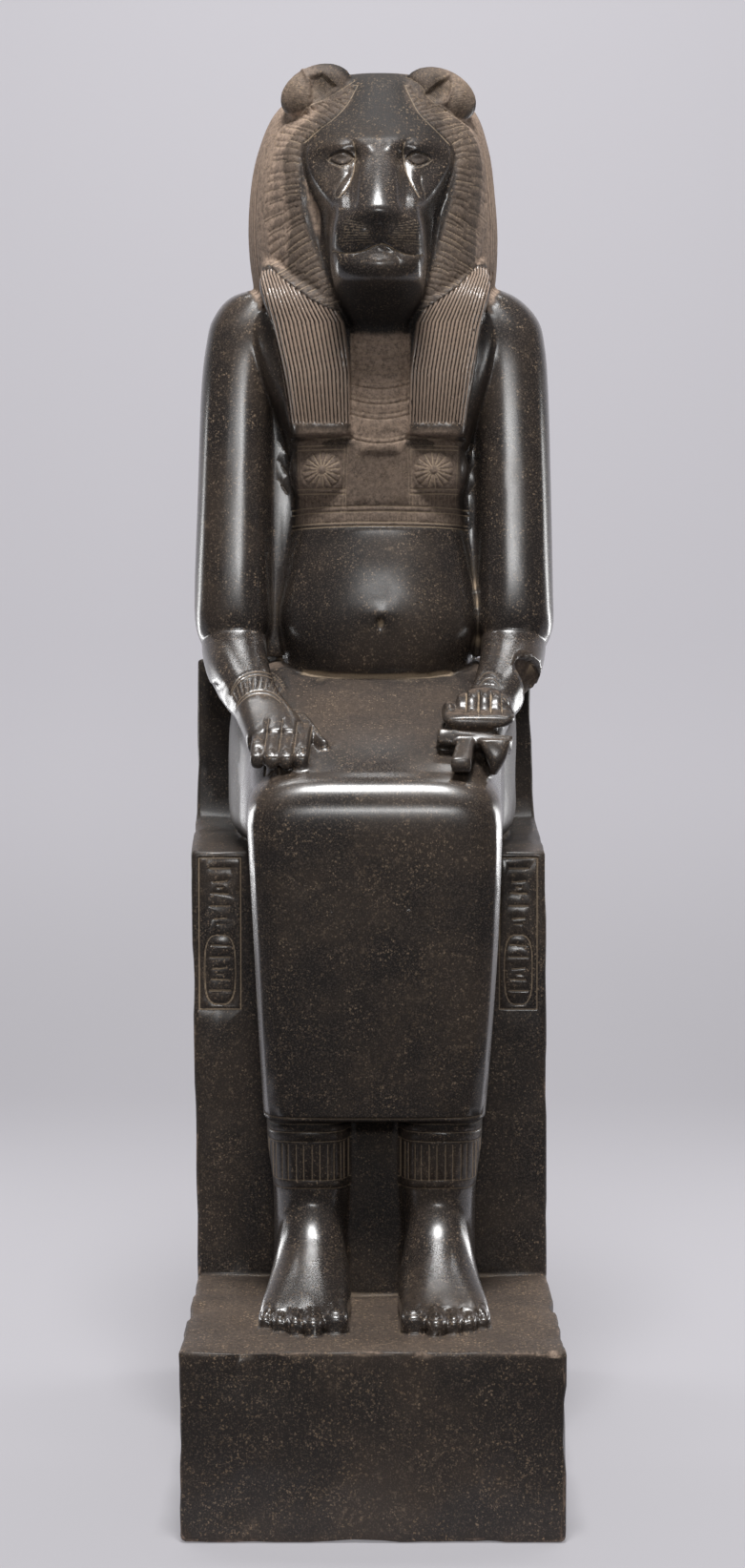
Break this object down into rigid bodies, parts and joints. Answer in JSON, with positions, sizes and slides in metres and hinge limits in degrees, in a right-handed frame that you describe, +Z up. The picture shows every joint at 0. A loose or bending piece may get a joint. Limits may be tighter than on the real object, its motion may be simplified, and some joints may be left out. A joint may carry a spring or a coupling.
{
  "type": "lioness headed goddess statue",
  "caption": "Seated statue of a lioness-headed goddess with wig and mane, hands on lap, on a low-backed throne and block base",
  "frame": {"origin": "centre of the block base's underside", "axes": "+Z up, the figure faces -Y, +X is the viewer's right"},
  "size_m": [0.5647, 0.96, 2.1117],
  "materials": {
    "dark_stone": "dark granodiorite, polished on the body and matt in the carving, with fine pale speckles and tan dust in the grooves"
  },
  "bodies": {
    "root": {"seated_statue": "dark_stone"}
  },
  "joints": []
}
